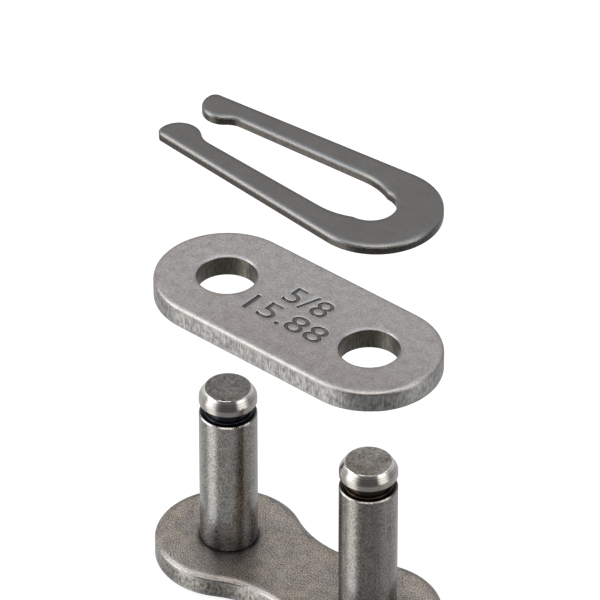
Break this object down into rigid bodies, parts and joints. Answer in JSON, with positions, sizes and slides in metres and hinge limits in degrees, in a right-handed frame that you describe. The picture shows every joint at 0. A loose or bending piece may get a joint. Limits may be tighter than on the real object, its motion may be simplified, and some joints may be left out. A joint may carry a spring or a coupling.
{
  "type": "chain connecting link",
  "caption": "Connecting link for a roller chain: a waisted plate carrying grooved pins, a round-ended cover plate and a spring clip, set out in line as they come apart.",
  "frame": {"origin": "midway between the two pins, at the height of the riveted pin ends that the link stands on", "axes": "+X along the link from the clip's open end to its closed end, +Y across the link, +Z along the pins towards their heads"},
  "size_m": [0.0288, 0.013, 0.0455],
  "materials": {
    "pin_plate_steel": "tumbled, grainy satin",
    "pin_steel": "ground, fine satin",
    "cover_plate_steel": "tumbled satin",
    "clip_steel": "dark hardened satin"
  },
  "bodies": {
    "pin_link": {"pin_plate": "pin_plate_steel", "left_pin": "pin_steel", "right_pin": "pin_steel"},
    "cover_plate": {"cover_plate": "cover_plate_steel"},
    "spring_clip": {"spring_clip": "clip_steel"}
  },
  "joints": [
    {"name": "cover_slide", "type": "slide", "parent": "pin_link", "child": "cover_plate", "axis": [0, 0, 1], "range_m": [-0.0148, 0.02]},
    {"name": "clip_slide", "type": "slide", "parent": "cover_plate", "child": "spring_clip", "axis": [0, 0, 1], "range_m": [-0.01383, 0.02]}
  ]
}
